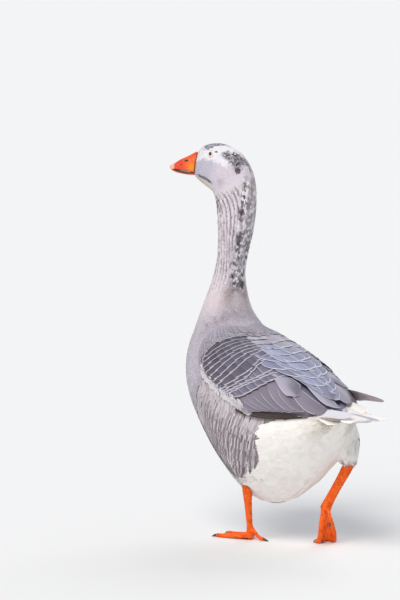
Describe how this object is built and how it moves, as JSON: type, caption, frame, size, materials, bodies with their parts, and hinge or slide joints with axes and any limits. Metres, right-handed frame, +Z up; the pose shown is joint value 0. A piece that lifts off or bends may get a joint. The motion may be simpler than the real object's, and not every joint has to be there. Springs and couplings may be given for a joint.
{
  "type": "domestic goose model",
  "caption": "Life-size model of a grey and white domestic goose walking, neck upright, head turned left, orange bill and legs.",
  "frame": {"origin": "on the floor, under the middle of the model's outline", "axes": "+Z up; -Y ahead of the goose, towards its breast; +X to the goose's left"},
  "size_m": [0.2628, 0.5589, 0.7705],
  "materials": {
    "plumage_grey": "soft contour feathers",
    "plumage_white": "soft contour feathers",
    "wing_feathers": "smooth covert and flight feathers",
    "bill_horn": "satin horn",
    "nail_horn": "satin horn",
    "claw_horn": "satin horn",
    "leg_skin": "scaly skin",
    "eye": "wet gloss"
  },
  "bodies": {
    "root": {"trunk": "plumage_grey", "neck_lower": "plumage_grey", "neck_middle": "plumage_grey", "neck_upper": "plumage_grey", "head": "plumage_grey", "bill_upper": "bill_horn", "bill_lower": "bill_horn", "bill_nail": "nail_horn", "eye_left": "eye", "eye_right": "eye", "wing_left": "wing_feathers", "wing_right": "wing_feathers", "wing_left_tip": "wing_feathers", "wing_right_tip": "wing_feathers", "tail": "plumage_white", "thigh_left": "plumage_white", "thigh_right": "plumage_white", "shank_left": "leg_skin", "shank_right": "leg_skin", "foot_left": "leg_skin", "foot_right": "leg_skin", "claw_left_inner": "claw_horn", "claw_left_middle": "claw_horn", "claw_left_outer": "claw_horn", "claw_left_hind": "claw_horn", "claw_right_inner": "claw_horn", "claw_right_middle": "claw_horn", "claw_right_outer": "claw_horn", "claw_right_hind": "claw_horn"}
  },
  "joints": []
}
